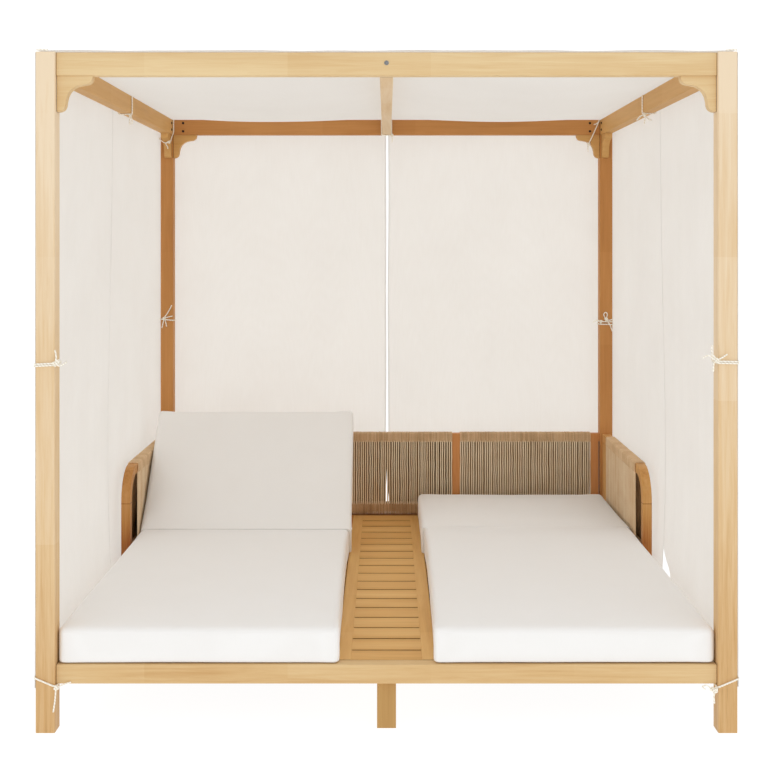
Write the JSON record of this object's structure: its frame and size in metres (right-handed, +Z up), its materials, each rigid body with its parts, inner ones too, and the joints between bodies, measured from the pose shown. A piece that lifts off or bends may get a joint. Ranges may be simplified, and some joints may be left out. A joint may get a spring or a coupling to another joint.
{
  "type": "outdoor daybed with canopy",
  "caption": "Square wooden daybed with canopy: two reclining padded loungers beside a slatted walkway, roped back and arms, canvas roof and curtains on three sides.",
  "frame": {"origin": "on the ground under the middle of the frame", "axes": "+X to the right, +Y to the back, +Z up"},
  "size_m": [2.0974, 2.0737, 1.9923],
  "materials": {
    "honey_wood": "satin",
    "deck_wood": "satin",
    "under_wood": "satin",
    "steel": "satin",
    "rope": "matte",
    "pad_cover": "matte",
    "canvas": "matte"
  },
  "bodies": {
    "daybed": {"front_left_post": "honey_wood", "front_right_post": "honey_wood", "rear_left_post": "honey_wood", "rear_right_post": "honey_wood", "front_beam": "honey_wood", "rear_beam": "honey_wood", "left_beam": "honey_wood", "right_beam": "honey_wood", "centre_rafter": "honey_wood", "front_left_bracket_x": "under_wood", "front_left_bracket_y": "under_wood", "front_right_bracket_x": "under_wood", "front_right_bracket_y": "under_wood", "rear_left_bracket_x": "under_wood", "rear_left_bracket_y": "under_wood", "rear_right_bracket_x": "under_wood", "rear_right_bracket_y": "under_wood", "front_rail": "honey_wood", "rear_rail": "honey_wood", "left_rail": "honey_wood", "right_rail": "honey_wood", "front_centre_leg": "honey_wood", "rear_centre_leg": "honey_wood", "left_stringer": "deck_wood", "right_stringer": "deck_wood", "seat_bearer": "under_wood", "rack_front_bearer": "under_wood", "rack_rear_bearer": "under_wood", "walkway_deck": "deck_wood", "left_seat_deck": "deck_wood", "right_seat_deck": "deck_wood", "left_prop_rack": "under_wood", "right_prop_rack": "under_wood", "left_hinge_rod": "steel", "right_hinge_rod": "steel", "left_seat_pad": "pad_cover", "right_seat_pad": "pad_cover", "back_panel_frame": "honey_wood", "back_rope_left": "rope", "back_rope_middle": "rope", "back_rope_right": "rope", "left_arm_frame": "honey_wood", "right_arm_frame": "honey_wood", "left_arm_rope": "rope", "right_arm_rope": "rope", "roof_canvas": "canvas", "rear_left_curtain": "canvas", "rear_right_curtain": "canvas", "left_front_curtain": "canvas", "left_rear_curtain": "canvas", "right_front_curtain": "canvas", "right_rear_curtain": "canvas"},
    "left_back": {"left_back_frame": "deck_wood", "left_back_pad": "pad_cover", "left_pad_fold": "pad_cover"},
    "left_prop": {"left_prop": "under_wood"},
    "right_back": {"right_back_frame": "deck_wood", "right_back_pad": "pad_cover", "right_pad_fold": "pad_cover"},
    "right_prop": {"right_prop": "under_wood"}
  },
  "joints": [
    {"name": "left_back_tilt", "type": "hinge", "parent": "daybed", "child": "left_back", "pos_m": [-0.5595, 0.291, 0.17], "axis": [1, 0, 0], "range_deg": [-47, 9], "deforming": ["left_pad_fold"]},
    {"name": "right_back_tilt", "type": "hinge", "parent": "daybed", "child": "right_back", "pos_m": [0.5595, 0.291, 0.17], "axis": [1, 0, 0], "range_deg": [0, 56], "deforming": ["right_pad_fold"]},
    {"name": "left_prop_swing", "type": "hinge", "parent": "left_back", "child": "left_prop", "pos_m": [-0.5595, 0.48878, 0.38209], "axis": [1, 0, 0], "range_deg": [-18, 94]},
    {"name": "right_prop_swing", "type": "hinge", "parent": "right_back", "child": "right_prop", "pos_m": [0.5595, 0.581, 0.17], "axis": [1, 0, 0], "range_deg": [-112, 0]}
  ],
  "couplings": [
    {"joint": "left_prop_swing", "follows": "left_back_tilt", "ratio": -2},
    {"joint": "right_prop_swing", "follows": "right_back_tilt", "ratio": -2}
  ]
}
